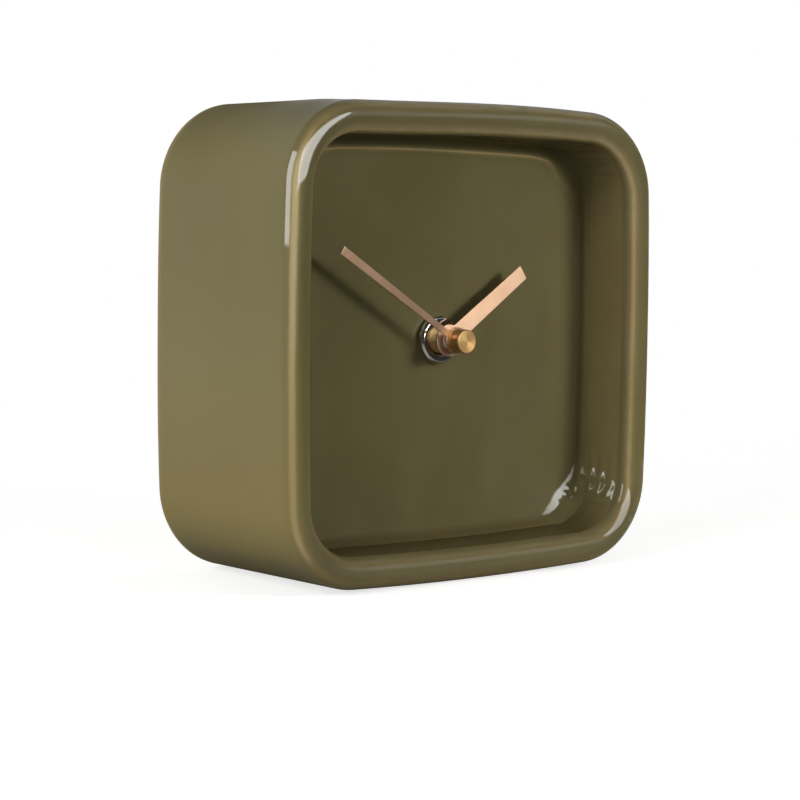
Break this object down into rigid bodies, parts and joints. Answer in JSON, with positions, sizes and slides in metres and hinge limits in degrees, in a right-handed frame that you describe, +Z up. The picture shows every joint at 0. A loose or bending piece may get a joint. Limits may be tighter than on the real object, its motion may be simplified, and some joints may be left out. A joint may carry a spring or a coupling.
{
  "type": "table clock",
  "caption": "Square ceramic table clock with rounded corners, a deeply sunk plain dial, a broad rolled rim, straight metal hands and a battery quartz movement at its open back.",
  "frame": {"origin": "on the table, under the middle of the case", "axes": "+Z up, -Y the way the dial faces, +X to the right seen from the front"},
  "size_m": [0.1382, 0.0658, 0.1374],
  "materials": {
    "olive_glaze": "glossy olive glaze over stoneware, thinner and browner on the rims",
    "chrome": "bright nickel plating",
    "brass": "turned brass",
    "rose_gold": "stamped sheet with a satin rose gold finish",
    "steel": "plain and nickel plated steel",
    "magnet": "dark sintered magnet",
    "copper": "enamelled copper wire",
    "rubber": "matt",
    "black_plastic": "fine grained moulding",
    "white_plastic": "natural acetal",
    "board": "green solder mask on glass fibre board",
    "chip_resin": "black potting resin",
    "cell": "plain dark sleeve, bare steel ends"
  },
  "bodies": {
    "clock_body": {"ceramic_case": "olive_glaze", "ring_nut": "chrome", "rubber_washer": "rubber", "threaded_bush": "brass", "movement_tray": "black_plastic", "movement_cover": "black_plastic", "train_bridge": "white_plastic", "stator_plate": "steel", "coil_core": "steel", "coil_bobbin": "white_plastic", "coil_winding": "copper", "circuit_board": "board", "driver_chip": "chip_resin", "quartz_crystal": "steel", "positive_contact": "steel", "negative_contact": "steel", "battery": "cell"},
    "minute_body": {"minute_arbor": "brass", "minute_hand": "rose_gold", "cap_nut": "brass", "clutch_spring": "steel"},
    "hour_body": {"hour_wheel": "white_plastic", "hour_hand": "rose_gold"},
    "minute_wheel_body": {"minute_wheel": "white_plastic"},
    "knob_body": {"setting_knob": "white_plastic"},
    "second_body": {"second_wheel": "white_plastic", "second_arbor": "steel"},
    "third_body": {"third_wheel": "white_plastic"},
    "centre_body": {"centre_wheel": "white_plastic"},
    "fifth_body": {"fifth_wheel": "white_plastic"},
    "rotor_body": {"rotor_pinion": "white_plastic", "rotor_magnet": "magnet"}
  },
  "joints": [
    {"name": "minute_turn", "type": "hinge", "parent": "clock_body", "child": "minute_body", "pos_m": [0, 0, 0.06833], "axis": [0, 1, 0], "continuous": true},
    {"name": "hour_turn", "type": "hinge", "parent": "clock_body", "child": "hour_body", "pos_m": [0, 0, 0.06833], "axis": [0, 1, 0], "continuous": true},
    {"name": "minute_wheel_turn", "type": "hinge", "parent": "clock_body", "child": "minute_wheel_body", "pos_m": [0.00864, 0, 0.06833], "axis": [0, 1, 0], "continuous": true},
    {"name": "knob_turn", "type": "hinge", "parent": "clock_body", "child": "knob_body", "pos_m": [0.01728, 0, 0.06833], "axis": [0, 1, 0], "continuous": true},
    {"name": "second_turn", "type": "hinge", "parent": "clock_body", "child": "second_body", "pos_m": [0, 0, 0.06833], "axis": [0, 1, 0], "continuous": true},
    {"name": "third_turn", "type": "hinge", "parent": "clock_body", "child": "third_body", "pos_m": [-0.00612, 0, 0.07893], "axis": [0, 1, 0], "continuous": true},
    {"name": "centre_turn", "type": "hinge", "parent": "clock_body", "child": "centre_body", "pos_m": [0, 0, 0.06833], "axis": [0, 1, 0], "continuous": true},
    {"name": "fifth_turn", "type": "hinge", "parent": "clock_body", "child": "fifth_body", "pos_m": [0.00912, 0, 0.07745], "axis": [0, 1, 0], "continuous": true},
    {"name": "rotor_turn", "type": "hinge", "parent": "clock_body", "child": "rotor_body", "pos_m": [0.01605, 0, 0.08438], "axis": [0, 1, 0], "continuous": true}
  ],
  "couplings": [
    {"joint": "hour_turn", "follows": "minute_turn", "ratio": 0.083333},
    {"joint": "minute_wheel_turn", "follows": "minute_turn", "ratio": -0.33333},
    {"joint": "knob_turn", "follows": "minute_turn", "ratio": 1},
    {"joint": "third_turn", "follows": "second_turn", "ratio": -0.13333},
    {"joint": "centre_turn", "follows": "second_turn", "ratio": 0.016667},
    {"joint": "fifth_turn", "follows": "second_turn", "ratio": -5},
    {"joint": "rotor_turn", "follows": "second_turn", "ratio": 30}
  ]
}
